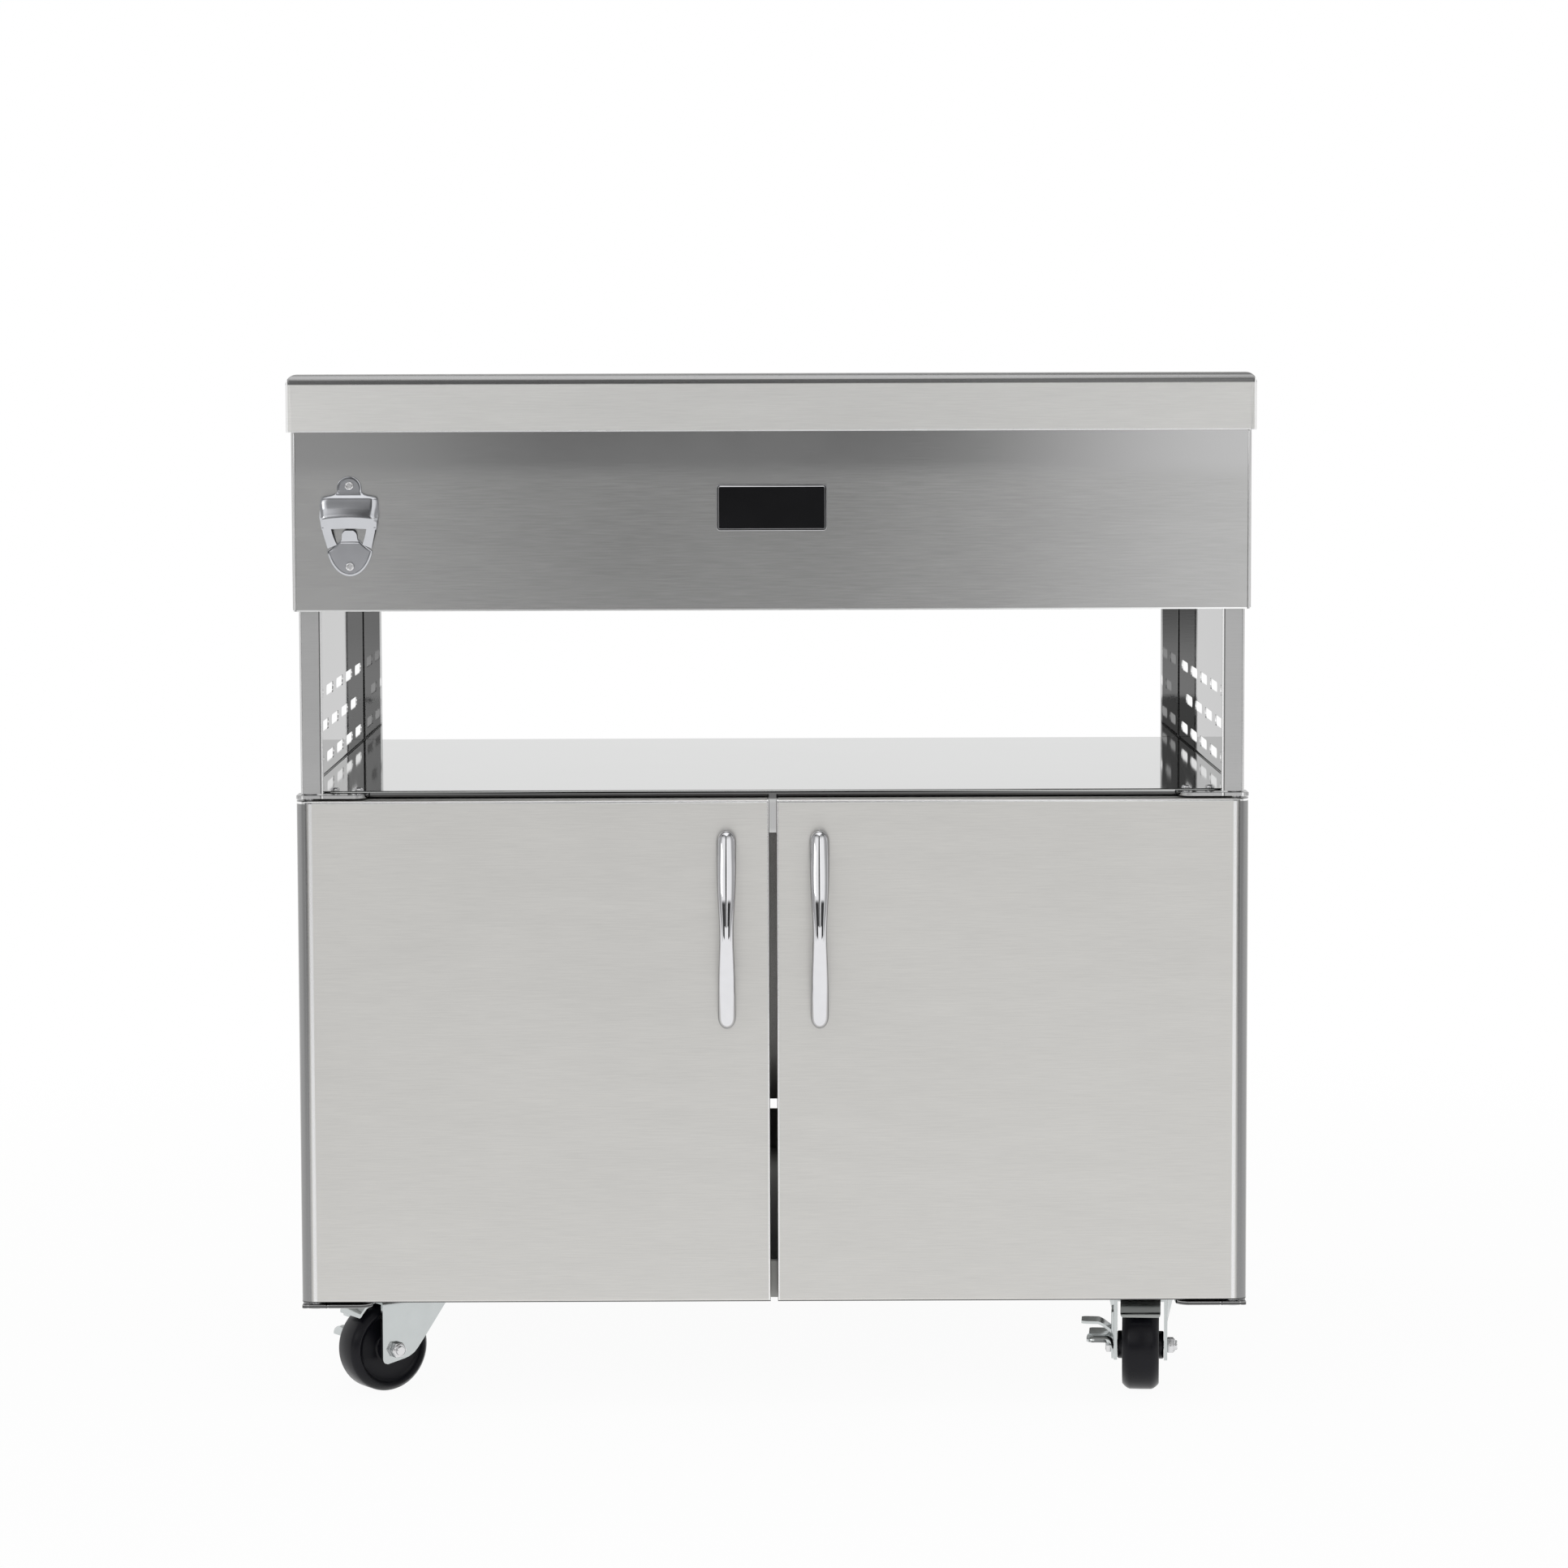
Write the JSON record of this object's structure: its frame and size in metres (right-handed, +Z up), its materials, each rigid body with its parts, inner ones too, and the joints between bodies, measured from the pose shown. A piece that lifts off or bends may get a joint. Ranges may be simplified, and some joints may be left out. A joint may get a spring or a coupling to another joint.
{
  "type": "kamado grill cart",
  "caption": "Stainless outdoor-kitchen cart on swivel castors: a round cut-out and open bay hold a ceramic grill above a cabinet with hinged doors.",
  "frame": {"origin": "on the floor under the middle of the whole object, handles included", "axes": "+Z up, -Y towards the front with the doors, +X to the right of someone who faces the doors"},
  "size_m": [0.85, 0.698, 0.9175],
  "materials": {
    "brushed_sheet": "stainless sheet with a fine horizontal brush",
    "bright_sheet": "bright stainless sheet, nearly a mirror",
    "plain_steel": "plain stainless, rolled",
    "chrome": "polished",
    "badge_black": "gloss black, bare",
    "catch_plastic": "moulded",
    "bush_plastic": "moulded",
    "wheel_plastic": "satin black",
    "zinc_steel": "bluish zinc plate",
    "fastener_steel": "bright"
  },
  "bodies": {
    "cabinet": {"top_panel": "brushed_sheet", "front_fascia": "brushed_sheet", "back_fascia": "brushed_sheet", "left_fascia": "brushed_sheet", "right_fascia": "brushed_sheet", "badge_rim": "chrome", "badge_plate": "badge_black", "bottle_opener": "chrome", "opener_screws": "fastener_steel", "left_upper_panel": "brushed_sheet", "right_upper_panel": "brushed_sheet", "shelf": "bright_sheet", "shelf_channels": "plain_steel", "left_side_panel": "brushed_sheet", "right_side_panel": "brushed_sheet", "back_panel": "brushed_sheet", "base_pan": "bright_sheet", "front_castor_rail": "plain_steel", "rear_castor_rail": "plain_steel", "upper_left_hinge_plate": "plain_steel", "upper_right_hinge_plate": "plain_steel", "lower_left_hinge_plate": "plain_steel", "lower_right_hinge_plate": "plain_steel", "hinge_pins": "fastener_steel", "hinge_plate_screws": "fastener_steel", "panel_screws": "fastener_steel", "door_catches": "catch_plastic", "castor_bolts": "fastener_steel", "castor_kingpins": "fastener_steel", "front_left_mount": "zinc_steel", "front_right_mount": "zinc_steel", "rear_left_mount": "zinc_steel", "rear_right_mount": "zinc_steel"},
    "left_leaf": {"left_door": "brushed_sheet", "left_door_liner": "plain_steel", "left_door_bushes": "bush_plastic", "left_handle": "chrome", "left_handle_screws": "fastener_steel", "left_striker": "fastener_steel"},
    "right_leaf": {"right_door": "brushed_sheet", "right_door_liner": "plain_steel", "right_door_bushes": "bush_plastic", "right_handle": "chrome", "right_handle_screws": "fastener_steel", "right_striker": "fastener_steel"},
    "front_left_castor": {"front_left_fork": "zinc_steel", "front_left_axle": "fastener_steel"},
    "front_left_roller": {"front_left_wheel": "wheel_plastic"},
    "front_left_lever": {"front_left_brake": "zinc_steel"},
    "front_right_castor": {"front_right_fork": "zinc_steel", "front_right_axle": "fastener_steel"},
    "front_right_roller": {"front_right_wheel": "wheel_plastic"},
    "front_right_lever": {"front_right_brake": "zinc_steel"},
    "rear_left_castor": {"rear_left_fork": "zinc_steel", "rear_left_axle": "fastener_steel"},
    "rear_left_roller": {"rear_left_wheel": "wheel_plastic"},
    "rear_right_castor": {"rear_right_fork": "zinc_steel", "rear_right_axle": "fastener_steel"},
    "rear_right_roller": {"rear_right_wheel": "wheel_plastic"}
  },
  "joints": [
    {"name": "right_door_hinge", "type": "hinge", "parent": "cabinet", "child": "right_leaf", "pos_m": [0.4085, -0.304, 0.319], "axis": [0, 0, 1], "range_deg": [0, 180]},
    {"name": "left_door_hinge", "type": "hinge", "parent": "cabinet", "child": "left_leaf", "pos_m": [-0.4085, -0.304, 0.319], "axis": [0, 0, -1], "range_deg": [0, 180]},
    {"name": "front_left_swivel", "type": "hinge", "parent": "cabinet", "child": "front_left_castor", "pos_m": [-0.334, -0.217, 0.083], "axis": [0, 0, 1], "continuous": true},
    {"name": "front_left_wheel_spin", "type": "hinge", "parent": "front_left_castor", "child": "front_left_roller", "pos_m": [-0.3553, -0.23191, 0.04], "axis": [0.5736, -0.8192, 0], "continuous": true},
    {"name": "front_left_brake_press", "type": "hinge", "parent": "front_left_castor", "child": "front_left_lever", "pos_m": [-0.3553, -0.23191, 0.04], "axis": [0.5736, -0.8192, 0], "range_deg": [0, 20]},
    {"name": "front_right_swivel", "type": "hinge", "parent": "cabinet", "child": "front_right_castor", "pos_m": [0.334, -0.217, 0.083], "axis": [0, 0, 1], "continuous": true},
    {"name": "front_right_wheel_spin", "type": "hinge", "parent": "front_right_castor", "child": "front_right_roller", "pos_m": [0.33173, -0.2429, 0.04], "axis": [0.9962, -0.0872, 0], "continuous": true},
    {"name": "front_right_brake_press", "type": "hinge", "parent": "front_right_castor", "child": "front_right_lever", "pos_m": [0.33173, -0.2429, 0.04], "axis": [0.9962, -0.0872, 0], "range_deg": [0, 20]},
    {"name": "rear_left_swivel", "type": "hinge", "parent": "cabinet", "child": "rear_left_castor", "pos_m": [-0.334, 0.272, 0.083], "axis": [0, 0, 1], "continuous": true},
    {"name": "rear_left_wheel_spin", "type": "hinge", "parent": "rear_left_castor", "child": "rear_left_roller", "pos_m": [-0.34499, 0.24844, 0.04], "axis": [0.9063, -0.4226, 0], "continuous": true},
    {"name": "rear_right_swivel", "type": "hinge", "parent": "cabinet", "child": "rear_right_castor", "pos_m": [0.334, 0.272, 0.083], "axis": [0, 0, 1], "continuous": true},
    {"name": "rear_right_wheel_spin", "type": "hinge", "parent": "rear_right_castor", "child": "rear_right_roller", "pos_m": [0.31408, 0.25529, 0.04], "axis": [0.6428, -0.766, 0], "continuous": true}
  ]
}
